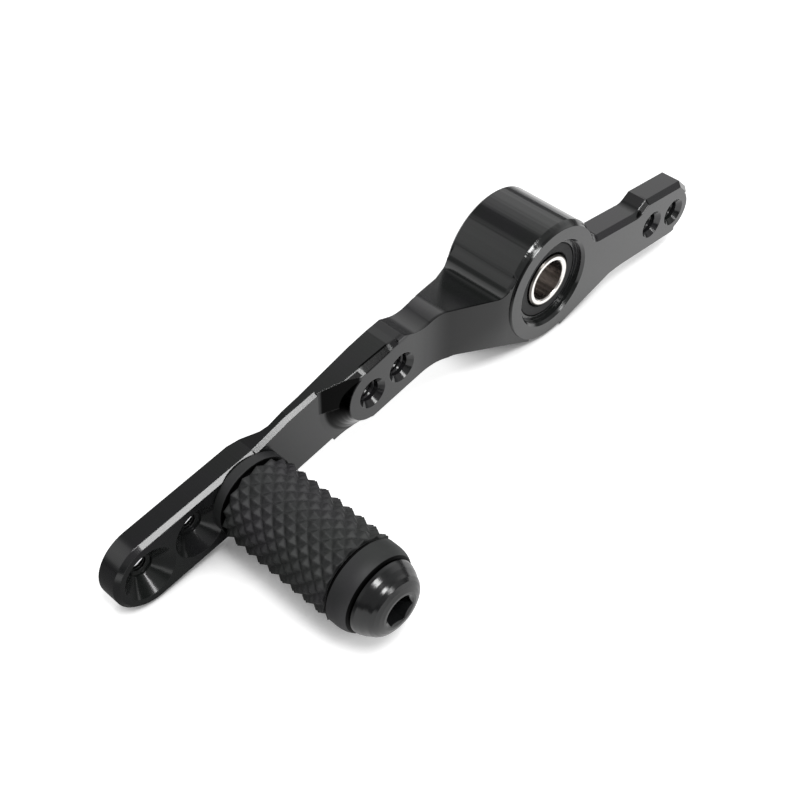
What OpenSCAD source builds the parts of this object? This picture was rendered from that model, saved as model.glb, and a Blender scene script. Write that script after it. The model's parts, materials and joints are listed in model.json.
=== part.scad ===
// Rear set foot control lever: a machined lever that turns on a sealed needle bearing, with a knurled toe peg.
// The pivot axis is Y and the origin lies on it, halfway along the pivot sleeve.
// X runs from the peg end to the linkage end, Z is up, and the peg sticks out towards -Y.

/* [Hub and bearing] */
// Diameter of the hub barrel
hub_d = 30.6; // [28.6:0.2:32]
// Length of the hub barrel along the pivot
hub_len = 20; // [19.9:0.1:24]
// How far the hub's front bevel comes in across the radius
hub_bevel_in = 0.9; // [0.3:0.1:1.2]
// How far the hub's front bevel runs along the barrel
hub_bevel_run = 1.8; // [0.8:0.1:2.5]
// Diameter of one bearing needle
needle_d = 1.92; // [1.5:0.02:2.2]
// Wall of the drawn bearing cup
cup_wall = 1; // [0.8:0.1:1.2]
// Width of the shoulder between the seal and the wall of the recess
recess_step = 1.1; // [0.8:0.1:1.4]
// Depth of the recess in front of the seal
recess_deep = 1.9; // [1.5:0.1:2.5]
// Bevel at the mouth of the recess
recess_bevel = 0.6; // [0.3:0.1:0.8]
// Width of each lip seal
seal_w = 3; // [2.5:0.1:3]
// Width of the needle bearing
bearing_w = 12; // [10:1:12]

/* [Sleeve] */
// Bore of the pivot sleeve
sleeve_bore = 10; // [8:0.5:10.5]
// Outside diameter of the pivot sleeve
sleeve_d = 13; // [12:0.5:14]
// How far the sleeve stands out of the seal at the front, and out of the hub at the back
sleeve_proud = 0.5; // [0.3:0.1:1]
// Running clearance on the radius between turning pieces
run_gap = 0.04; // [0.02:0.01:0.06]

/* [Arms] */
// Distance from the pivot to the first threaded hole on the peg side, along X
boss_x = 57.9; // [54:0.5:62]
// Height of that hole above the pivot
boss_z = 4.95; // [4:0.25:6]
// Distance between the two threaded holes on the peg side
boss_pitch = 8.6; // [8:0.2:9.4]
// Slope of the boss, in degrees
boss_lean = 10.96; // [10:0.5:12]
// Radius of the boss's round end
boss_r = 6.4; // [6:0.1:6.8]
// Distance from the pivot to the first linkage hole, along X
link_x = 37.6; // [35:0.5:40]
// Height of the first linkage hole below the pivot
link_drop = 3.5; // [3:0.25:4]
// Distance between the two linkage holes
link_pitch = 8.95; // [8.4:0.2:9.6]
// Downward slope of the line of linkage holes, in degrees
link_lean = 5.9; // [5:0.5:7]
// Thickness of the linkage arm
link_thick = 6.2; // [5.5:0.1:7]
// Depth of the web's front face behind the boss face
web_step = 3.35; // [3:0.1:3.6]
// Thickness of the thin web at the peg side
web_thick = 2.25; // [2:0.05:3]
// Bevel along the front edges of the lever
edge_bevel = 0.9; // [0.6:0.1:1.2]

/* [Peg plate] */
// Distance from the pivot to the peg, along X
peg_x = 89.15; // [86:0.5:92]
// Height of the peg's axis below the pivot
peg_drop = 2.55; // [2:0.25:3]
// Distance between neighbouring peg holes
peg_pitch = 12.6; // [12.2:0.1:13]
// Slope of the row of peg holes, in degrees
plate_lean = 9.15; // [8:0.5:10]
// Height of the peg plate
plate_h = 17.2; // [16.2:0.2:18]
// Thickness of the peg plate
plate_thick = 5.4; // [5:0.1:6]
// Mouth diameter of the cone-shaped peg seats
cone_d = 12.1; // [11.5:0.1:12.3]
// Depth of the cone-shaped peg seats
cone_deep = 2.9; // [2.5:0.1:3.2]

/* [Threads] */
// Nominal diameter of the threaded holes
thread_d = 6; // [6:1:6]
// Drilled diameter of the threaded holes
tap_d = 5; // [5:0.1:5.2]
// Mouth diameter of the bevel at each threaded hole
mouth_d = 7.2; // [6.6:0.1:7.4]

/* [Toe peg] */
// Diameter of the peg over the points of the knurl
peg_d = 19.3; // [18.5:0.2:20.1]
// Depth of the knurl
knurl_deep = 0.95; // [0.6:0.05:1.1]
// Length of the knurled part
knurl_len = 27.6; // [24:0.1:30]
// Number of knurl points around the peg
knurl_around = 16; // [12:2:18]
// Number of half rows of knurl points along the peg
knurl_rows = 17; // [15:2:19]
// Width of the narrow turned grooves beside the knurl
groove_w = 0.7; // [0.5:0.1:1]
// Length of the smooth ring at the free end
ring_len = 5.2; // [4.5:0.1:6]
// Diameter of the peg screw's domed head
head_d = 16.2; // [14.8:0.1:16.6]
// Height of the peg screw's head
head_h = 5.1; // [4.9:0.1:5.5]
// Hexagon key size of the peg screw
key_af = 6; // [5:1:6]

/* [Hidden] */
$fn = 96;
eps = 0.02;
hub_r = hub_d / 2;
raceway_r = sleeve_d / 2 + needle_d + 2 * run_gap;
seat_r = raceway_r + cup_wall;
recess_r = seat_r + recess_step;
peg_r = peg_d / 2;
boss_m1 = [-boss_x, boss_z];
boss_m2 = boss_m1 + boss_pitch * along(boss_lean);
link_m1 = [link_x, -link_drop];
link_m2 = link_m1 + link_pitch * along(-link_lean);
plate_e3 = [-peg_x, -peg_drop];
plate_e2 = plate_e3 - peg_pitch * along(plate_lean);
plate_e1 = plate_e2 - peg_pitch * along(plate_lean);
plate_half = plate_h / 2;
plate_back = web_step + plate_thick;
web_back = web_step + web_thick;

// Outline of the peg side, clockwise from the round end, in X and Z.
plate_end = plate_e1 + 0.5 * along(plate_lean);
plate_top = plate_end + plate_half * across(plate_lean);
plate_low = plate_end - plate_half * across(plate_lean);
bend_top = plate_e3 + 3.9 * along(plate_lean) + plate_half * across(plate_lean);
web_top = boss_m1 - 18.3 * along(boss_lean) + 8.1 * across(boss_lean);
boss_top = boss_m1 + 7 * along(boss_lean) + 8.2 * across(boss_lean);
boss_low = 8.5;
hump = boss_m2 + [0.6, 8.25];
hump_left = hump - [1.9, 0.3];
hump_right = hump + [0.9, -0.35];
crease = boss_m2 + [2.9, 7.37];
web_low = boss_m1 - 20.1 * along(boss_lean) - boss_low * across(boss_lean);
bend_low = plate_e3 - 3.0 * along(plate_lean) - plate_half * across(plate_lean);

// Behind the hump the top dips in a round valley, swells in a round crest and falls straight to the hub.
valley_r = 9.2;
valley_c = boss_m2 + [6.3, 15.9];
neck_lean = -22.7;
neck_rise = -1.7;
crest_r = 8;
crest_v = neck_rise - crest_r;
crest_u = valley_c * along(neck_lean)
    + sqrt((valley_r + crest_r) ^ 2 - (valley_c * across(neck_lean) - crest_v) ^ 2);
crest_c = crest_u * along(neck_lean) + crest_v * across(neck_lean);
crest_left = crest_c + crest_r * (valley_c - crest_c) / norm(valley_c - crest_c);
crest_right = crest_c + crest_r * across(neck_lean);
neck_fillet = 5;
neck_c = corner_centre(neck_lean, neck_rise, neck_fillet, hub_r, -1);
neck_top = neck_c - neck_fillet * across(neck_lean);

// The neck's lower side touches the hub and meets the boss in a round arch.
low_lean = -26.4;
neck_low = -hub_r * across(low_lean);
arch_r = 11;
arch_c = meet(boss_lean, boss_m1 * across(boss_lean) - boss_low - arch_r, low_lean, -hub_r - arch_r);
arch_left = arch_c + arch_r * across(boss_lean);
arch_right = arch_c + arch_r * across(low_lean);

// The boss's wide lower bevel fades out along a cone near the arch.
boss_edge = 2;
fade_u = 12.9;
fade_r = 15;
fade_c = boss_m1 + fade_u * along(boss_lean) - (boss_low - boss_edge + fade_r) * across(boss_lean);

// Outline of the linkage side, clockwise from the hub.
link_end_r = 6.35;
link_edge = edge_bevel + 0.3;
link_slope = -6.3;
link_rise = 31;
link_dip = link_m1 + [-6, 6.3];
link_step = link_dip + 3.75 * along(link_rise);
link_corner = link_m2 + [2.1, 7.82];
link_tip = link_m2 + [5.4, 4.62];
link_under = [link_m1 - [11.1, 6], link_m1 - [15.6, 6.1]];
link_low = -hub_r * across(16);
dip_r = 3.5;
dip_c = meet(link_slope, link_dip * across(link_slope) + dip_r, link_rise, link_dip * across(link_rise) + dip_r);
dip_left = dip_c - dip_r * across(link_slope);
dip_right = dip_c - dip_r * across(link_rise);
notch_r = 3;
notch_c = corner_centre(link_slope, link_dip * across(link_slope), notch_r, hub_r, 1);
notch_low = notch_c - notch_r * across(link_slope);

// Places along the pivot axis, from the hub's front face at zero. Each piece is drawn so, then set in place.
seal_front_y = recess_deep;
bearing_y = seal_front_y + seal_w;
seal_rear_y = bearing_y + bearing_w;
sleeve_y = recess_deep - sleeve_proud;
sleeve_len = hub_len + sleeve_proud - sleeve_y;
sleeve_mid = sleeve_y + sleeve_len / 2;

// Needle bearing.
roller_r = needle_d / 2;
roller_ring_r = (raceway_r + sleeve_d / 2) / 2;
needle_spread = 1.5;
roller_count = floor(180 / asin(needle_spread * roller_r / roller_ring_r));
roller_inset = cup_wall + 0.8;
roller_y = bearing_y + roller_inset;
roller_len = bearing_w - 2 * roller_inset;
cage_r0 = roller_ring_r - roller_r / 2;
cage_r1 = roller_ring_r + roller_r / 2;
cage_y0 = bearing_y + cup_wall + 0.1;
cage_y1 = bearing_y + bearing_w - cup_wall - 0.1;

// Toe peg, from the plate out towards -Y.
collar_y = groove_w;
knurl_end = -knurl_len;
ring_y = knurl_end - groove_w;
peg_end = ring_y - ring_len;
groove_r = peg_r - knurl_deep - 0.35;
screw_r = thread_d / 2;

// Unit vectors along and across a slope given in degrees.
function along(a) = [cos(a), sin(a)];
function across(a) = [-sin(a), cos(a)];

// Where two lines meet, each given by its slope and its signed distance from the pivot.
function meet(a, rise_a, b, rise_b) = (rise_a * along(b) - rise_b * along(a)) / cross(along(a), along(b));

// Centre of a fillet of radius f above a line and outside the hub of radius r.
// The line has the slope a and the signed distance rise from the pivot; side is -1 left of the hub, 1 right.
function corner_centre(a, rise, f, r, side) =
    (rise + f) * across(a) + side * sqrt((r + f) ^ 2 - (rise + f) ^ 2) * along(a);

// Sets a piece in place, with the middle of the pivot sleeve on the origin.
module place() {
    translate([0, -sleeve_mid, 0])
        children();
}

// A solid drawn in X and Z and stretched from y0 to y1.
module slab(points, y0, y1) {
    translate([0, y1, 0])
        rotate([90, 0, 0])
            linear_extrude(y1 - y0)
                polygon(points);
}

// A cylinder or cone along Y from y0 to y1, centred on a point [x, z].
module rod(at, y0, y1, r0, r1 = -1) {
    translate([at[0], y0, at[1]])
        rotate([-90, 0, 0])
            cylinder(h = y1 - y0, r1 = r0, r2 = r1 < 0 ? r0 : r1);
}

// A body turned about Y, from points of radius and Y.
module turned(points, at = [0, 0]) {
    translate([at[0], 0, at[1]])
        rotate([-90, 0, 0])
            rotate_extrude()
                polygon(points);
}

// Cutter for the 45 degree bevel of a front edge that runs from p to q with the metal on its right.
// It runs on past p and q by the given shares of its size: by nothing at an inner corner.
module edge_cut(p, q, size, face_y, ends = [0.3, 0.3]) {
    turn = atan2(q[1] - p[1], q[0] - p[0]);
    out = 0.8;
    translate([p[0], 0, p[1]])
        rotate([0, -turn, 0])
            translate([-size * ends[0], 0, 0])
                rotate([90, 0, 90])
                    linear_extrude(norm(q - p) + size * (ends[0] + ends[1]))
                        polygon([
                            [face_y - out, -size - out],
                            [face_y + size + out, out],
                            [face_y - out, out],
                        ]);
}

// Cutter for the bevel of a round inner corner, with its centre outside the metal.
module hollow_cut(c, r, size, face_y) {
    rod(c, face_y - eps, face_y + size, r + size + eps, r);
}

// The lever's side view, without its depth steps.
module lever_outline() {
    y0 = -1;
    y1 = hub_len + 1;
    slab([
        plate_top,
        bend_top,
        web_top,
        boss_top,
        hump_left,
        hump,
        hump_right,
        crease,
        crest_left,
        crest_right,
        neck_top,
        neck_c,
        hub_r / norm(neck_c) * neck_c,
        [0, 0],
        neck_low,
        arch_right,
        arch_c,
        arch_left,
        web_low,
        bend_low,
        plate_low,
    ], y0, y1);
    rod(plate_end, y0, y1, plate_half);
    intersection() {
        rod(crest_c, y0, y1, crest_r);
        slab([crest_c, 1.2 * crest_left - 0.2 * crest_c, 1.2 * crest_right - 0.2 * crest_c], y0, y1);
    }
}

// Cylinders that round the inner corners of the side view.
module lever_hollows() {
    rod(neck_c, -2, hub_len + 2, neck_fillet);
    rod(valley_c, -2, hub_len + 2, valley_r);
    rod(arch_c, -2, hub_len + 2, arch_r);
}

// Depth of the peg side, seen from above, at full height.
module lever_depth() {
    neck_front = 0.45;
    translate([0, 0, -30])
        linear_extrude(60)
            polygon([
                [-peg_x - 60, web_step],
                [-boss_x, web_step],
                [-boss_x, 0],
                [-boss_x + 16, 0],
                [-hub_r + 0.8, neck_front],
                [0, neck_front],
                [0, hub_len],
                [-hub_r - 0.5, hub_len - 1.4],
                [-hub_r - 4.4, hub_len - 3.7],
                [-hub_r - 10.4, hub_len - 7],
                [-boss_x + 20.4, 8],
                [-boss_x + 17.9, 7.5],
                [-boss_x + 9.9, 7.2],
                [-boss_x, 6.95],
                [-boss_x - 15, web_back + 0.3],
                [-peg_x + 8, web_back],
                [-peg_x + 6.2, web_back + 0.45],
                [-peg_x + 2.6, plate_back - 0.6],
                [-peg_x - 0.2, plate_back],
                [-peg_x - 60, plate_back],
            ]);
}

// The boss's sloping left end: a straight ramp above, and a round hollow flank below.
module boss_ramp() {
    translate([0, 0, boss_z - 0.2])
        linear_extrude(30)
            polygon([
                [-boss_x + 1, 0],
                [-boss_x - 3.0, 0],
                [-boss_x - 11.9, web_step],
                [-boss_x - 11.9, web_back],
                [-boss_x + 1, web_back],
            ]);
}

module boss_flank() {
    flank_r = 6;
    flank_a = acos((flank_r - web_step) / flank_r);
    reach = boss_r + flank_r * sin(flank_a);
    turned(concat(
        [[0, web_back], [0, 0]],
        [for (k = [0 : 6]) let (a = flank_a * (1 - k / 6))
            [reach - flank_r * sin(a), web_step - flank_r * (1 - cos(a))]],
        [[reach, web_back]]
    ), boss_m1);
}

// Everything of the lever on the peg side of the pivot, before its holes.
module peg_side() {
    low = -boss_low * across(boss_lean);
    difference() {
        intersection() {
            lever_outline();
            union() {
                lever_depth();
                boss_ramp();
                boss_flank();
            }
        }
        lever_hollows();
        edge_cut(plate_top, bend_top, edge_bevel, web_step, [0.3, 0]);
        edge_cut(bend_top, web_top, edge_bevel, web_step, [0, 0.3]);
        edge_cut(web_top, boss_top - 17.8 * along(boss_lean), edge_bevel, web_step, [0.3, 0]);
        edge_cut(boss_m1 - 6 * along(boss_lean) + 7.7 * across(boss_lean), boss_top, edge_bevel + 0.1, 0);
        edge_cut(boss_top, hump_left, edge_bevel, 0);
        edge_cut(boss_m1 - 9.8 * along(boss_lean) + low, web_low, edge_bevel, web_step, [0, 0]);
        edge_cut(web_low, bend_low, edge_bevel, web_step, [0, 0.3]);
        edge_cut(bend_low, plate_low, edge_bevel, web_step);
        edge_cut(boss_m1 + fade_u * along(boss_lean) + low, boss_m1 - 3 * along(boss_lean) + low,
            boss_edge, 0, [0, 0]);
        rod(fade_c, -eps, boss_edge, fade_r + eps, fade_r - boss_edge);
        plate_end_cut();
    }
}

// The bevel around the plate's round end.
module plate_end_cut() {
    intersection() {
        turned([
            [plate_half - edge_bevel - 1, web_step - 1],
            [plate_half + 1, web_step - 1],
            [plate_half + 1, web_step + edge_bevel + 1],
        ], plate_end);
        translate([plate_end[0], 0, plate_end[1]])
            rotate([0, -plate_lean, 0])
                translate([-20, -5, -20])
                    cube([20, 30, 40]);
    }
}

// Everything of the lever on the linkage side of the pivot, before its holes.
module link_side() {
    difference() {
        union() {
            slab(concat([
                [0, 0],
                hub_r / norm(notch_c) * notch_c,
                notch_c,
                notch_low,
                dip_left,
                dip_c,
                dip_right,
                link_step,
                link_corner,
                link_tip,
                link_m2,
                link_m2 - [0, link_end_r],
            ], link_under, [link_low]), 0, link_thick);
            rod(link_m2, 0, link_thick, link_end_r);
        }
        rod(notch_c, -1, link_thick + 1, notch_r);
        rod(dip_c, -1, link_thick + 1, dip_r);
        hollow_cut(dip_c, dip_r, link_edge, 0);
        edge_cut(notch_low, dip_left, link_edge, 0, [0, 0]);
        edge_cut(dip_right, link_step, link_edge, 0, [0, 0.3]);
        edge_cut(link_step, link_corner, link_edge, 0);
        edge_cut(link_corner, link_tip, link_edge, 0);
        link_end_cut();
    }
}

// The bevel around the end of the linkage arm.
module link_end_cut() {
    size = edge_bevel;
    difference() {
        turned([
            [link_end_r - size - 0.8, -0.8],
            [link_end_r + 2, -0.8],
            [link_end_r + 2, size + 2],
        ], link_m2);
        translate([0, -5, -30])
            cube([link_m2[0] + 1.5, 20, 60]);
        translate([0, -5, link_m2[1] + 4])
            cube([80, 20, 20]);
    }
}

// A threaded hole through the lever, drawn at its drilled size with a bevelled mouth.
module tapped(at) {
    rod(at, -1, hub_len, tap_d / 2);
    rod(at, -eps, (mouth_d - tap_d) / 2, mouth_d / 2 + eps, tap_d / 2);
}

// A cone-shaped peg seat with a hole of the given radius through the plate.
module peg_seat(at, hole_r) {
    rod(at, web_step - 1, plate_back + 1, hole_r);
    rod(at, web_step - eps, web_step + cone_deep, cone_d / 2 + eps, tap_d / 2);
}

module lever() {
    color([0.10, 0.10, 0.11])
        place() difference() {
            union() {
                peg_side();
                link_side();
                turned([
                    [0, 0],
                    [hub_r - hub_bevel_in, 0],
                    [hub_r, hub_bevel_run],
                    [hub_r, hub_len - 0.5],
                    [hub_r - 0.5, hub_len],
                    [0, hub_len],
                ]);
            }
            rod([0, 0], -1, hub_len + 1, seat_r);
            rod([0, 0], -1, recess_deep, recess_r);
            rod([0, 0], -eps, recess_bevel, recess_r + recess_bevel + eps, recess_r);
            hollow_cut(notch_c, notch_r, link_edge, 0);
            tapped(boss_m1);
            tapped(boss_m2);
            tapped(link_m1);
            tapped(link_m2);
            peg_seat(plate_e1, tap_d / 2);
            peg_seat(plate_e2, tap_d / 2);
            peg_seat(plate_e3, screw_r);
        }
}

module pivot_sleeve() {
    bevel = 0.3;
    r0 = sleeve_bore / 2;
    r1 = sleeve_d / 2;
    color([0.80, 0.80, 0.78])
        place() difference() {
            turned([
                [r0 - 1, sleeve_y],
                [r1 - bevel, sleeve_y],
                [r1, sleeve_y + bevel],
                [r1, sleeve_y + sleeve_len - bevel],
                [r1 - bevel, sleeve_y + sleeve_len],
                [r0 - 1, sleeve_y + sleeve_len],
            ]);
            rod([0, 0], 0, hub_len + 5, r0);
            rod([0, 0], sleeve_y - eps, sleeve_y + bevel, r0 + bevel + eps, r0);
            rod([0, 0], sleeve_y + sleeve_len - bevel, sleeve_y + sleeve_len + eps, r0, r0 + bevel + eps);
        }
}

module bearing_cup() {
    lip_r = cage_r0 - 0.15;
    y1 = bearing_y + bearing_w;
    color([0.62, 0.63, 0.65])
        place() turned([
            [lip_r, bearing_y],
            [seat_r, bearing_y],
            [seat_r, y1],
            [lip_r, y1],
            [lip_r, y1 - cup_wall],
            [raceway_r, y1 - cup_wall],
            [raceway_r, bearing_y + cup_wall],
            [lip_r, bearing_y + cup_wall],
        ]);
}

module needle_rollers() {
    color([0.72, 0.73, 0.75])
        place() for (k = [0 : roller_count - 1])
            rod(roller_ring_r * along(360 * k / roller_count), roller_y, roller_y + roller_len, roller_r, roller_r, $fn = 24);
}

module roller_cage() {
    pocket = roller_r + 0.05;
    color([0.55, 0.50, 0.32])
        place() difference() {
            turned([[cage_r0, cage_y0], [cage_r1, cage_y0], [cage_r1, cage_y1], [cage_r0, cage_y1]]);
            for (k = [0 : roller_count - 1])
                rod(roller_ring_r * along(360 * k / roller_count), roller_y - 0.05, roller_y + roller_len + 0.05, pocket, $fn = 24);
        }
}

// A lip seal is a rubber ring over a steel ring. y is its outer face and dir is 1 at the front, -1 at the back.
module seal_lip(y, dir) {
    lip_r = sleeve_d / 2 + run_gap;
    out_r = seat_r;
    skin = 0.4;
    color([0.06, 0.06, 0.06])
        place() turned([for (p = [
            [lip_r + 0.5, 0],
            [lip_r + 0.9, 0.12],
            [out_r - 0.35, 0.12],
            [out_r, 0.45],
            [out_r, seal_w],
            [out_r - skin, seal_w],
            [out_r - skin, 1],
            [lip_r + 1.3, 1],
            [lip_r + 0.7, 1.9],
            [lip_r, 2.2],
            [lip_r, 1.9],
            [lip_r + 0.25, 0.9],
        ]) [p[0], y + dir * p[1]]]);
}

module seal_ring(y, dir) {
    out_r = seat_r - 0.4;
    in_r = sleeve_d / 2 + run_gap + 1.35;
    wall = 0.5;
    color([0.45, 0.46, 0.48])
        place() turned([for (p = [
            [in_r, 1],
            [out_r, 1],
            [out_r, seal_w],
            [out_r - wall, seal_w],
            [out_r - wall, 1 + wall],
            [in_r, 1 + wall],
        ]) [p[0], y + dir * p[1]]]);
}

module front_seal_lip() {
    seal_lip(seal_front_y, 1);
}

module front_seal_ring() {
    seal_ring(seal_front_y, 1);
}

module rear_seal_lip() {
    seal_lip(seal_rear_y + seal_w, -1);
}

module rear_seal_ring() {
    seal_ring(seal_rear_y + seal_w, -1);
}

// The knurl: two rows of pyramids per pitch, each standing between four low corners.
module knurl() {
    n = 2 * knurl_around;
    m = knurl_rows;
    low_r = peg_r - knurl_deep;
    step = knurl_len / m;
    points = concat(
        [for (j = [0 : m]) for (i = [0 : n - 1])
            let (a = 360 * i / n, r = (i + j) % 2 == 0 ? peg_r : low_r)
            [r * cos(a), r * sin(a), j * step]],
        [[0, 0, 0], [0, 0, knurl_len]]
    );
    sides = [for (j = [0 : m - 1]) for (i = [0 : n - 1])
        let (i1 = (i + 1) % n, a = j * n + i, b = j * n + i1, c = (j + 1) * n + i1, d = (j + 1) * n + i)
        each ((i + j) % 2 == 0 ? [[a, d, b], [b, d, c]] : [[a, c, b], [a, d, c]])];
    ends = [for (i = [0 : n - 1]) let (i1 = (i + 1) % n)
        each [[i, i1, (m + 1) * n], [m * n + i1, m * n + i, (m + 1) * n + 1]]];
    translate([plate_e3[0], 0, plate_e3[1]])
        rotate([90, 0, 0])
            polyhedron(points, concat(sides, ends));
}

module toe_peg() {
    seat_gap = 0.1;
    spigot = cone_deep - 1.1;
    spigot_r = cone_d / 2 - seat_gap - spigot * (cone_d - tap_d) / 2 / cone_deep;
    ring_r = peg_r - 0.35;
    round_r = 1.4;
    round_len = 3.2;
    color([0.13, 0.13, 0.14])
        place() difference() {
            union() {
                knurl();
                turned([
                    [0, web_step + spigot],
                    [spigot_r, web_step + spigot],
                    [cone_d / 2 - seat_gap, web_step],
                    [peg_r - 0.7, web_step],
                    [peg_r - 0.4, web_step - 0.3],
                    [peg_r - 0.4, collar_y + 0.2],
                    [peg_r - 0.6, collar_y],
                    [groove_r, collar_y],
                    [groove_r, -eps],
                    [0, -eps],
                ], plate_e3);
                turned(concat([
                    [0, knurl_end + eps],
                    [groove_r, knurl_end + eps],
                    [groove_r, ring_y],
                    [ring_r - 0.2, ring_y],
                    [ring_r, ring_y - 0.2],
                ],
                    [for (k = [0 : 8]) [ring_r - round_r * (1 - cos(11.25 * k)), peg_end + round_len * (1 - sin(11.25 * k))]],
                    [[0, peg_end]]
                ), plate_e3);
            }
            rod(plate_e3, peg_end - 1, web_step + cone_deep + 1, screw_r + 0.3);
        }
}

module peg_screw() {
    head_r = head_d / 2;
    top = peg_end - head_h;
    color([0.05, 0.05, 0.05])
        place() difference() {
            turned([
                [0, plate_back - 0.3],
                [screw_r - 0.5, plate_back - 0.3],
                [screw_r, plate_back - 0.8],
                [screw_r, peg_end],
                [head_r - 0.3, peg_end],
                [head_r, peg_end - 0.3],
                [head_r - 0.1, peg_end - 1],
                [head_r - 0.55, top + 3],
                [head_r - 1.1, top + 2.1],
                [head_r - 1.4, top + 1.45],
                [head_r - 2, top + 0.8],
                [head_r - 2.9, top + 0.3],
                [head_r - 3.9, top],
                [0, top],
            ], plate_e3);
            translate([plate_e3[0], top - 1, plate_e3[1]])
                rotate([-90, 0, 0])
                    rotate([0, 0, 12])
                        cylinder(h = 4.2, r = key_af / 2 / cos(30), $fn = 6);
            rod(plate_e3, top - eps, top + 0.4, key_af / 2 / cos(30) + 0.2, key_af / 2 - 0.1);
        }
}

lever();
pivot_sleeve();
bearing_cup();
needle_rollers();
roller_cage();
front_seal_lip();
front_seal_ring();
rear_seal_lip();
rear_seal_ring();
toe_peg();
peg_screw();
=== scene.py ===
"""Looks for a rear set foot control lever: black anodised lever and toe peg, ground sleeve, rubber seals."""

import json
import math

import bpy
from mathutils import Matrix, Vector


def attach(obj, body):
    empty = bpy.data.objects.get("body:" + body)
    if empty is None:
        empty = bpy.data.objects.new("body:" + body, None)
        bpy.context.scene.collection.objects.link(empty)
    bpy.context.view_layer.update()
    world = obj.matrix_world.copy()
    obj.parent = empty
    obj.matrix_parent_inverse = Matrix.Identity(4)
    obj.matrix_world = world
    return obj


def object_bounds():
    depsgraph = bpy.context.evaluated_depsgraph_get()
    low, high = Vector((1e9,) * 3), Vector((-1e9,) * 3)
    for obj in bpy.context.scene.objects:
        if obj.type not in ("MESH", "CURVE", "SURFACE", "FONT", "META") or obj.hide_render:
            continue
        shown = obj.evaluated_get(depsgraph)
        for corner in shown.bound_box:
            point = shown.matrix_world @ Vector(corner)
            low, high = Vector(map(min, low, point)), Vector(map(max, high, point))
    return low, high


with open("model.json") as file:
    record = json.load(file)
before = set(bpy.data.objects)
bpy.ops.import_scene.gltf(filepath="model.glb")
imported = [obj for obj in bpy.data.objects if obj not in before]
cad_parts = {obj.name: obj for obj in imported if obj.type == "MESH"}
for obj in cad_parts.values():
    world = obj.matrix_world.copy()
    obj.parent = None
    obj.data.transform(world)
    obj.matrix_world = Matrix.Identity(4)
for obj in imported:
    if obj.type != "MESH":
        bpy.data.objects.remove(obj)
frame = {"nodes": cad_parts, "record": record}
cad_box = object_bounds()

MM = 0.001

# Where the photographer stood, in the row frame, and the focal length that gives the photo's size.
CAMERA_AT = Vector((-198.49, -155.75, 199.99)) * MM
CAMERA_LOOK = Vector((0.51247, 0.49950, -0.69848))
CAMERA_UP = Vector((0.49631, 0.49149, 0.71562))
FOCAL_MM = 61.95
SENSOR_MM = 36.0

# Places on the lever, as its solid has them. Those with two numbers are x and z.
FACE_Y = -10.95 * MM
WEB_Y = -7.6 * MM
HUB_RIM = 14.5 * MM
BOSS_HOLE = (-57.9 * MM, 4.95 * MM)
BOSS_LEAN = math.radians(10.96)
BOSS_TOP = 8.2 * MM
BOSS_BEND_X = -51.0 * MM
BOSS_BEVEL = 1.0 * MM
RAMP_X = (-61.0 * MM, -59.5 * MM)
STEP_FOOT = (31.6 * MM, 2.8 * MM)
STEP_SLOPE = math.radians(31.0)

# Threads: a ridge that stands inward from the drilled wall, with its crest, pitch and starting angle.
# The foot is a share of the pitch on each side of the crest, and the crest is flat.
# Both kinds are narrower inside than a real M6 thread: they are for the look alone.
THREAD_ROOT = 2.56 * MM
ARM_THREAD = {"crest": 2.17 * MM, "pitch": 1.0 * MM, "start": 0.0}
SEAT_THREAD = {"crest": 1.6 * MM, "pitch": 0.65 * MM, "start": math.radians(65.0)}
THREAD_STEPS = 36
THREAD_INSET = 0.02 * MM
THREAD_FOOT = 0.44
THREAD_FLAT = 0.06 * MM
THREAD_RUN_OUT = 12.0

# Painted shade: darker bands in the peg's turned lines and where the screw meets the peg, by their place
# along the pivot axis.
SHADE_BAND_FADE = 0.12 * MM
PEG_SHADE_BANDS = ((-44.6 * MM, -44.1 * MM), (-39.6 * MM, -38.65 * MM), (-10.9 * MM, -10.1 * MM))
SCREW_SHADE_BAND = (-44.75 * MM, -44.4 * MM)

# Finishes: the colour of painted shade, pattern sizes in cycles a metre, and samples for rounded edges.
PAINTED_SHADE_COLOUR = (0.004, 0.004, 0.004)
FINE_GRAIN = 7000.0
METAL_CLOUD = 160.0
EDGE_SAMPLES = 6

# The floor, and light levels, where 1 is white.
FLOOR_Z = cad_box[0][2]
FLOOR_HALF = 6.0
FLOOR_GLOW = 0.75
# Painted shadow: how far from the part the floor's glow fades.
PAINTED_SHADOW_REACH = 11.0 * MM
STRIP_BRIGHTNESS = 11.0
KEY_BRIGHTNESS = 20.0
DIFFUSE_SHARE = 0.45
ROOM_BY_HEIGHT = (
    (0.0, 0.1),
    (0.12, 0.14),
    (0.2, 0.32),
    (0.31, 0.95),
    (0.6, 1.0),
    (0.77, 0.8),
    (0.86, 0.6),
    (1.0, 0.6),
)
WHITE = (1.0, 1.0, 1.0, 1.0)


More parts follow.
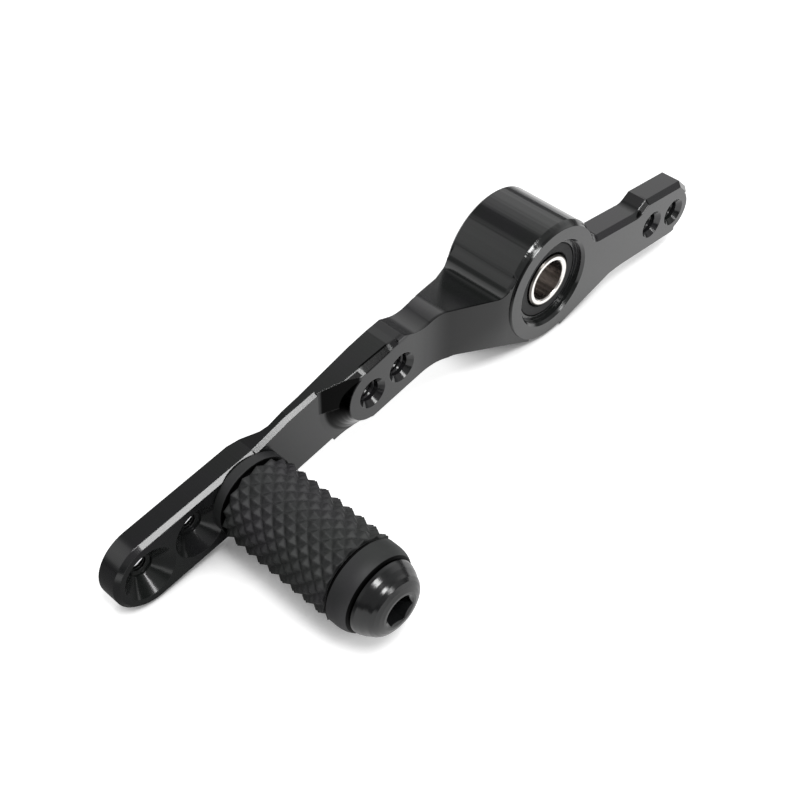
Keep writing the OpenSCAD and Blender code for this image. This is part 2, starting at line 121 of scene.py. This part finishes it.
class Sock:
    """A shader socket that can be used in Python expressions."""

    def __init__(self, mat, link):
        self.mat = mat
        self.link = link

    def math(self, kind, *others):
        return self.mat.node("ShaderNodeMath", {"operation": kind}, *((self,) + others))

    def __add__(self, other):
        return self.math("ADD", other)

    def __radd__(self, other):
        return self.math("ADD", other)

    def __sub__(self, other):
        return self.math("SUBTRACT", other)

    def __rsub__(self, other):
        return self.mat.node("ShaderNodeMath", {"operation": "SUBTRACT"}, other, self)

    def __mul__(self, other):
        return self.math("MULTIPLY", other)

    def __rmul__(self, other):
        return self.math("MULTIPLY", other)

    def root(self):
        return self.math("POWER", 0.5)

    def size(self):
        return self.math("ABSOLUTE")

    def clamp(self):
        return self.math("MAXIMUM", 0.0).math("MINIMUM", 1.0)

    def smooth(self, start, end):
        """0 below start and 1 above end, with a soft step between."""
        settings = {"interpolation_type": "SMOOTHSTEP"}
        return self.mat.node("ShaderNodeMapRange", settings, self, start, end, 0.0, 1.0)

    def band(self, start, end, fade):
        """1 from start to end, fading out past both."""
        return self.smooth(start - fade, start) * (1.0 - self.smooth(end, end + fade))


class Finish:
    """The shader nodes of a material or of the world, made one call at a time."""

    def __init__(self, owner, output="ShaderNodeOutputMaterial"):
        self.owner = owner
        owner.use_nodes = True
        self.tree = owner.node_tree
        self.tree.nodes.clear()
        self.output = self.tree.nodes.new(output)

    def node(self, kind, settings, *values, out=0, named=None):
        """One node: its settings first, then its sockets' values or links by position or by name."""
        made = self.tree.nodes.new(kind)
        for key, value in settings.items():
            if key == "stops":
                for element, (place, shade) in zip(ramp_elements(made, len(value)), value):
                    element.position = place
                    element.color = (shade, shade, shade, 1.0)
            else:
                setattr(made, key, value)
        for place, value in enumerate(values):
            self.feed(made.inputs[place], value)
        for key, value in (named or {}).items():
            self.feed(made.inputs[key], value)
        return Sock(self, made.outputs[out])

    def feed(self, socket, value):
        if isinstance(value, Sock):
            self.tree.links.new(value.link, socket)
        elif value is not None:
            socket.default_value = value

    def where(self):
        """The point in the row frame, in metres, as it is at rest."""
        return self.node("ShaderNodeTexCoord", {}, out="Object")

    def stretched(self, factors):
        """The point with each axis scaled, for grain that runs one way."""
        return self.node("ShaderNodeVectorMath", {"operation": "MULTIPLY"}, self.where(), factors)

    def ray_is(self, *kinds):
        """1 where the ray is one of the kinds, such as "Camera"."""
        seen = 0.0
        for kind in kinds:
            seen = self.node("ShaderNodeLightPath", {}, out="Is %s Ray" % kind).math("MAXIMUM", seen)
        return seen

    def parts_of(self, vector):
        """The x, y and z of a vector."""
        split = self.node("ShaderNodeSeparateXYZ", {}, vector)
        return [Sock(self, out) for out in split.link.node.outputs]

    def noise(self, scale, detail=3.0, vector=None, rough=0.55):
        named = {"Vector": vector or self.where(), "Scale": scale, "Detail": detail, "Roughness": rough}
        return self.node("ShaderNodeTexNoise", {}, named=named)

    def shade(self, amount, dark, light):
        """A colour between dark and light, by an amount from 0 to 1. A colour Mix has them at 6, 7 and 0."""
        named = {0: amount}
        for place, colour in ((6, dark), (7, light)):
            named[place] = colour + (1.0,) if isinstance(colour, tuple) else colour
        return self.node("ShaderNodeMix", {"data_type": "RGBA"}, out=2, named=named)

    def bump(self, height, distance, strength=0.5, normal=None):
        named = {"Strength": strength, "Distance": distance, "Height": height, "Normal": normal}
        return self.node("ShaderNodeBump", {}, named=named)

    def soft_edges(self, radius):
        """The surface's normal, with its edges rounded to a radius."""
        return self.node("ShaderNodeBevel", {"samples": EDGE_SAMPLES}, radius)

    def surface(self, **sockets):
        """The one Principled shader, with sockets named by keyword, such as base_color or metallic."""
        named = {}
        for key, value in sockets.items():
            named["IOR" if key == "ior" else key.replace("_", " ").title()] = value
        shader = self.node("ShaderNodeBsdfPrincipled", {}, named=named)
        self.feed(self.output.inputs["Surface"], shader)
        return self.owner


def ramp_elements(ramp, count):
    elements = ramp.color_ramp.elements
    while len(elements) < count:
        elements.new(0.5)
    return elements


def above_line(x, z, start, lean):
    """The height above a line through start that leans by an angle."""
    return (x - start[0]) * -math.sin(lean) + (z - start[1]) * math.cos(lean)


def painted_neck_shade(x, y, z):
    """Painted shade on the front face of the neck between hub and boss, darker than the faces beside it."""
    radius = (x * x + z * z).root()
    beside_hub = radius.smooth(HUB_RIM - 0.2 * MM, HUB_RIM + 0.2 * MM) * (1.0 - x.smooth(-8.0 * MM, 0.0))
    along = x.smooth(-47.0 * MM, -34.0 * MM)
    on_face = 1.0 - y.smooth(FACE_Y + 0.35 * MM, FACE_Y + 0.75 * MM)
    return beside_hub * along * on_face * (0.62 + 0.3 * z.smooth(-10.0 * MM, 2.0 * MM))


def painted_boss_shade(x, y, z, below_face):
    """Painted shade on the boss's ramp and top bevel, left off one narrow spot where they meet so that a
    highlight shows there.
    """
    above_holes = above_line(x, z, BOSS_HOLE, BOSS_LEAN)
    off_ramp = x.smooth(*RAMP_X)
    under_top = 1.0 - above_holes.smooth(BOSS_TOP - 0.3 * MM, BOSS_TOP - 0.1 * MM)
    ramp = (1.0 - off_ramp) * below_face * under_top
    fall = (x - BOSS_BEND_X).math("MINIMUM", 0.0) * 0.0385
    off_bevel = (y - FACE_Y) - above_holes + (BOSS_TOP - BOSS_BEVEL) + fall
    bevel = 1.0 - off_bevel.size().smooth(0.25 * MM, 0.4 * MM)
    bevel = bevel * above_holes.smooth(BOSS_TOP - 2.1 * MM, BOSS_TOP - 1.9 * MM) * off_ramp
    bevel = bevel * (0.95 - 0.65 * x.smooth(-53.1 * MM, -52.5 * MM))
    # The painted shade is lifted in one narrow spot, which then shows the lamp's highlight.
    off_spot = (x + above_holes * 0.55 + 56.25 * MM).size()
    highlight_left_bare = (1.0 - off_spot.smooth(0.3 * MM, 0.5 * MM)) * above_holes.smooth(4.0 * MM, 4.6 * MM)
    return x.smooth(-84.0 * MM, -82.0 * MM) * ramp.math("MAXIMUM", bevel) * (1.0 - highlight_left_bare)


def painted_step_shade(x, z, below_face):
    """Painted shade on the step up to the linkage arm's thick end."""
    above_slope = above_line(x, z, STEP_FOOT, STEP_SLOPE)
    step = z.smooth(-0.5 * MM, 0.5 * MM) * (1.0 - above_slope.smooth(-0.25 * MM, -0.1 * MM))
    return below_face * step * x.smooth(30.6 * MM, 31.0 * MM) * (1.0 - x.smooth(35.0 * MM, 35.5 * MM)) * 0.9


def painted_lever_shade(x, y, z):
    """How much painted shade, from 0 to 1, lies on the lever's neck, boss and linkage arm.

    It stands for how these faces catch the light in one view. The real dye may well be even.
    """
    below_face = y.smooth(FACE_Y + 0.05 * MM, FACE_Y + 0.25 * MM)
    below_face = below_face * (1.0 - y.smooth(WEB_Y - 0.3 * MM, WEB_Y - 0.05 * MM))
    return (painted_neck_shade(x, y, z) + painted_boss_shade(x, y, z, below_face) + painted_step_shade(x, z, below_face)).clamp()


def black_anodise(name, tone, rough, soft_edge, grit, painted_shade_bands=()):
    """Black anodised aluminium: grain drawn out along the pivot, faint clouding, edges a little rubbed.

    Painted shade, nearly black and metallic so that it reflects little, lies on the turned lines, or without
    them on the lever's painted places.
    """
    made = Finish(bpy.data.materials.new(name))
    x, y, z = made.parts_of(made.where())
    cloud = made.noise(60.0)
    lay = made.noise(1.0, 3.0, made.stretched((2600.0, 60.0, 2600.0)), 0.6)
    bands = made.noise(1.0, 2.0, made.stretched((420.0, 9.0, 420.0)), 0.5)
    grain = made.noise(FINE_GRAIN, 2.0)
    cool = (tone * 1.08, tone * 1.0, tone * 1.2)
    green = (tone * 0.88, tone * 1.0, tone * 0.94)
    # Painted shade: bands on the turned lines, or the lever's painted shade by place.
    painted_shade = 0.0
    for start, end in painted_shade_bands:
        painted_shade = y.band(start, end, SHADE_BAND_FADE) + painted_shade
    if not painted_shade_bands:
        painted_shade = painted_lever_shade(x, y, z)
    on_hub = (1.0 - x.size().smooth(14.0 * MM, 17.0 * MM)) * y.smooth(-10.6 * MM, -9.4 * MM)
    streaks = made.bump(bands * on_hub, 0.35 * MM, normal=made.soft_edges(soft_edge))
    return made.surface(
        base_color=made.shade(painted_shade, made.shade(cloud.smooth(0.35, 0.7), green, cool), PAINTED_SHADE_COLOUR),
        metallic=painted_shade,
        roughness=rough + cloud * 0.05 + lay * 0.04,
        ior=1.6,
        normal=made.bump(grain * grit * 0.5 + lay, 0.01 * MM, normal=streaks),
    )


def ground_steel(name, colour, rough, lines):
    """Bright steel with fine turned or drawn rings round the pivot axis."""
    made = Finish(bpy.data.materials.new(name))
    y = made.parts_of(made.where())[1]
    cloud = made.noise(METAL_CLOUD)
    ring = (y * lines + cloud * 3.0).math("SINE")
    grain = made.noise(FINE_GRAIN, 2.0)
    low = tuple(c * 0.82 for c in colour)
    return made.surface(
        base_color=made.shade(cloud.smooth(0.3, 0.75), low, colour),
        metallic=1.0,
        roughness=rough + cloud * 0.08 + ring * 0.02,
        normal=made.bump(ring * 0.3 + grain, 0.006 * MM, normal=made.soft_edges(0.12 * MM)),
    )


def sleeve_steel(name):
    """The pivot sleeve: a bright ground face, a painted-dark outer edge, and a bore painted dark brown as
    shade, with lighter streaks along the axis as painted reflection.
    """
    made = Finish(bpy.data.materials.new(name))
    x, y, z = made.parts_of(made.where())
    radius = (x * x + z * z).root()
    cloud = made.noise(METAL_CLOUD)
    ring = (radius * 26000.0 + cloud * 3.0).math("SINE")
    grain = made.noise(FINE_GRAIN, 2.0)
    face = made.shade(cloud.smooth(0.3, 0.75), (0.90, 0.87, 0.83), (0.97, 0.95, 0.92))
    # Painted shade: the outer edge of the face is darker.
    painted_dark_rim = made.shade(radius.smooth(5.9 * MM, 6.15 * MM), face, (0.16, 0.15, 0.14))
    bore = 1.0 - radius.smooth(5.02 * MM, 5.12 * MM)
    # Painted shade in the bore, with lighter streaks along the axis as painted reflection.
    streak = made.noise(1.0, 3.0, made.stretched((900.0, 40.0, 900.0)), 0.6)
    painted_bore_shade = made.shade(streak.smooth(0.4, 0.65), (0.31, 0.285, 0.27), (0.68, 0.64, 0.61))
    return made.surface(
        base_color=made.shade(bore, painted_dark_rim, painted_bore_shade),
        metallic=1.0,
        roughness=0.24 + cloud * 0.08 + ring * 0.02,
        normal=made.bump(ring * 0.3 + grain, 0.006 * MM),
    )


def seal_rubber(name):
    """Matt black rubber with a fine moulded grain."""
    made = Finish(bpy.data.materials.new(name))
    cloud = made.noise(220.0, 4.0)
    fine = made.noise(5200.0)
    return made.surface(
        base_color=made.shade(cloud, (0.012, 0.012, 0.012), (0.03, 0.03, 0.031)),
        roughness=0.62 + cloud * 0.15,
        ior=1.48,
        normal=made.bump(fine, 0.02 * MM, 0.6),
    )


def gloss_black(name):
    """The peg screw: black oxide under a thin gloss, with faint turning rings and a band of painted shade
    where it meets the peg.
    """
    made = Finish(bpy.data.materials.new(name))
    y = made.parts_of(made.where())[1]
    cloud = made.noise(90.0)
    fine = made.noise(6500.0, 2.0)
    rings = (y * 14000.0).math("SINE")
    # Painted shade: a dark band where the screw meets the peg.
    painted_shade = y.band(*SCREW_SHADE_BAND, SHADE_BAND_FADE)
    oxide = made.shade(cloud, (0.007, 0.007, 0.008), (0.014, 0.015, 0.015))
    return made.surface(
        base_color=made.shade(painted_shade, oxide, (0.002, 0.002, 0.002)),
        metallic=painted_shade,
        roughness=0.15 + cloud * 0.08,
        ior=1.55,
        normal=made.bump(fine + rings * 0.1, 0.008 * MM, normal=made.soft_edges(0.2 * MM)),
    )


def finish_cad_nodes():
    """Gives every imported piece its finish."""
    finishes = {
        "lever": black_anodise("black_anodised_lever", 0.014, 0.11, 0.18 * MM, 0.4),
        "toe_peg": black_anodise("black_anodised_peg", 0.018, 0.56, 0.7 * MM, 3.0, PEG_SHADE_BANDS),
        "peg_screw": gloss_black("gloss_black_screw"),
        "pivot_sleeve": sleeve_steel("ground_sleeve_steel"),
        "bearing_cup": ground_steel("drawn_cup_steel", (0.60, 0.61, 0.63), 0.30, 9000.0),
        "needle_rollers": ground_steel("polished_roller_steel", (0.80, 0.80, 0.82), 0.12, 12000.0),
        "roller_cage": ground_steel("pressed_cage_steel", (0.48, 0.46, 0.42), 0.38, 7000.0),
        "front_seal_ring": ground_steel("pressed_ring_steel", (0.45, 0.46, 0.48), 0.45, 6000.0),
        "front_seal_lip": seal_rubber("seal_rubber"),
    }
    finishes["rear_seal_ring"] = finishes["front_seal_ring"]
    finishes["rear_seal_lip"] = finishes["front_seal_lip"]
    for name, material in finishes.items():
        piece = frame["nodes"][name]
        piece.data.materials.clear()
        piece.data.materials.append(material)


def add_mesh(name, points, faces, material):
    mesh = bpy.data.meshes.new(name)
    mesh.from_pydata(points, [], faces)
    mesh.materials.append(material)
    piece = bpy.data.objects.new(name, mesh)
    bpy.context.scene.collection.objects.link(piece)
    return piece


def thread_ridge(hole, cut):
    """The ridge of a cut thread, wound round the wall of one threaded hole of the record."""
    middle = Vector(hole["pos_m"])
    half_foot = THREAD_FOOT * cut["pitch"]
    run = hole["dims"]["length_mm"] * MM - 2.0 * (half_foot + THREAD_INSET)
    steps = int(run / cut["pitch"] * THREAD_STEPS)
    points = []
    for step in range(steps + 1):
        share = step / steps
        rise = min(1.0, THREAD_RUN_OUT * share, THREAD_RUN_OUT * (1.0 - share))
        crest = THREAD_ROOT + (cut["crest"] - THREAD_ROOT) * rise
        turn = cut["start"] + 2.0 * math.pi * step / THREAD_STEPS
        along = (share - 0.5) * run
        profile = (
            (THREAD_ROOT, -half_foot),
            (crest, -THREAD_FLAT),
            (crest, THREAD_FLAT),
            (THREAD_ROOT, half_foot),
        )
        for radius, shift in profile:
            offset = Vector((radius * math.cos(turn), along + shift, radius * math.sin(turn)))
            points.append(middle + offset)
    corners = len(profile)
    last = corners * steps
    faces = [tuple(range(corners)), tuple(range(last + corners - 1, last - 1, -1))]
    for step in range(steps):
        for side in range(corners):
            here = corners * step + side
            beside = corners * step + (side + 1) % corners
            faces.append((here, here + corners, beside + corners, beside))
    lever_finish = frame["nodes"]["lever"].data.materials[0]
    ridge = add_mesh(hole["name"].replace("hole", "thread"), points, faces, lever_finish)
    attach(ridge, "lever")


def cut_threads():
    for mount in frame["record"]["mounts"]:
        if mount["kind"] == "threaded_hole":
            thread_ridge(mount, SEAT_THREAD if "peg" in mount["name"] else ARM_THREAD)


def stage_floor():
    """A pale sheet that the part lies on. It shows as white, with the lamps' shadow of the part and a
    painted contact shadow round it.

    Painted shade: the sheet looks darker to reflections near the plate and on the left.
    """
    made = Finish(bpy.data.materials.new("pale_sheet"))
    x, y, z = made.parts_of(made.where())
    seen = made.ray_is("Camera", "Glossy", "Transmission")
    # Painted shadow: the sheet's glow fades near the part, by how much of the sky is hidden within a short
    # reach.
    clear_of_painted_shadow = made.node("ShaderNodeAmbientOcclusion", {"samples": 12}, None, PAINTED_SHADOW_REACH, out="AO")
    sheet = made.node("ShaderNodeBsdfDiffuse", {}, (0.86, 0.86, 0.86, 1.0))
    glow = made.node("ShaderNodeEmission", {}, WHITE, FLOOR_GLOW * seen * clear_of_painted_shadow.smooth(0.1, 0.85))
    lit = made.node("ShaderNodeAddShader", {}, sheet, glow)
    # Painted shade seen only in reflections: darker near the plate and on the left.
    near_plate = (1.0 - x.smooth(-95.0 * MM, -55.0 * MM)) * y.smooth(-50.0 * MM, -25.0 * MM) * 0.85
    left_side = (1.0 - x.smooth(-70.0 * MM, 30.0 * MM)) * 0.3
    shaded = (1.0 - (1.0 - near_plate) * (1.0 - left_side)) * made.ray_is("Glossy")
    dark = made.node("ShaderNodeBsdfDiffuse", {}, (0.03, 0.03, 0.03, 1.0))
    made.feed(made.output.inputs["Surface"], made.node("ShaderNodeMixShader", {}, shaded, lit, dark))
    corners = [
        (-FLOOR_HALF, -FLOOR_HALF, FLOOR_Z),
        (FLOOR_HALF, -FLOOR_HALF, FLOOR_Z),
        (FLOOR_HALF, FLOOR_HALF, FLOOR_Z),
        (-FLOOR_HALF, FLOOR_HALF, FLOOR_Z),
    ]
    add_mesh("pale_sheet", corners, [(0, 1, 2, 3)], made.owner)


def toward(azimuth, elevation):
    """The direction of a compass angle from +X and a height angle, both in degrees."""
    turn = math.radians(azimuth)
    rise = math.radians(elevation)
    return Vector((math.cos(turn) * math.cos(rise), math.sin(turn) * math.cos(rise), math.sin(rise)))


def soft_box(name, target, way, distance, wide, tall, brightness):
    """A soft box in the direction way, seen from the target. The angles wide and tall are in degrees."""
    lamp = bpy.data.lights.new(name, "AREA")
    lamp.shape = "RECTANGLE"
    lamp.size = 2.0 * distance * math.tan(math.radians(wide / 2.0))
    lamp.size_y = 2.0 * distance * math.tan(math.radians(tall / 2.0))
    lamp.energy = brightness * math.pi * lamp.size * lamp.size_y
    holder = bpy.data.objects.new(name, lamp)
    holder.location = Vector(target) + way * distance
    holder.rotation_euler = way.to_track_quat("Z", "Y").to_euler()
    bpy.context.scene.collection.objects.link(holder)


def stage_lights():
    near_plate = (-80.0 * MM, -12.0 * MM, 0.0)
    at_hub = (0.0, -10.0 * MM, 0.0)
    soft_box("bevel_box", near_plate, toward(-81.5, 36.5), 1.5, 13.5, 10.0, STRIP_BRIGHTNESS)
    soft_box("seat_strip", near_plate, toward(-77.5, 24.0), 1.5, 6.0, 7.0, STRIP_BRIGHTNESS)
    soft_box("key_box", at_hub, toward(-120.0, 64.0), 1.0, 15.0, 15.0, KEY_BRIGHTNESS)


def stage_world():
    """The room: light from the back and the top, darker at the horizon, in front and in one patch above."""
    world = bpy.data.worlds.new("studio")
    bpy.context.scene.world = world
    made = Finish(world, "ShaderNodeOutputWorld")
    ray = made.node("ShaderNodeTexCoord", {}, out="Generated")
    x, y, height = made.parts_of(ray)
    room = made.node("ShaderNodeValToRGB", {"stops": ROOM_BY_HEIGHT}, height)
    front = x * -0.45 + y * -0.89
    room = room * (1.0 - 0.5 * front.smooth(-0.35, 0.1) - 0.2 * front.smooth(0.2, 0.7))
    settings = {"operation": "DOT_PRODUCT"}
    patch = made.node("ShaderNodeVectorMath", settings, ray, toward(90.0, 55.0), out="Value")
    room = room * (1.0 - 0.75 * patch.smooth(0.951, 0.9986))
    shown = made.ray_is("Camera")
    level = room * (DIFFUSE_SHARE + (1.0 - DIFFUSE_SHARE) * made.ray_is("Glossy", "Transmission"))
    level = shown + (1.0 - shown) * level
    glow = made.node("ShaderNodeBackground", {}, WHITE, level)
    made.feed(made.output.inputs["Surface"], glow)


def stage_camera():
    lens = bpy.data.cameras.new("camera")
    lens.sensor_width = SENSOR_MM
    lens.lens = FOCAL_MM
    lens.clip_start = 10.0 * MM
    camera = bpy.data.objects.new("camera", lens)
    back = -CAMERA_LOOK.normalized()
    right = CAMERA_UP.cross(back).normalized()
    up = back.cross(right)
    turn = Matrix((right, up, back)).transposed().to_4x4()
    camera.matrix_world = Matrix.Translation(CAMERA_AT) @ turn
    bpy.context.scene.collection.objects.link(camera)
    bpy.context.scene.camera = camera


bpy.context.scene.view_settings.view_transform = "Standard"
stage_camera()
finish_cad_nodes()
cut_threads()
stage_floor()
stage_lights()
stage_world()
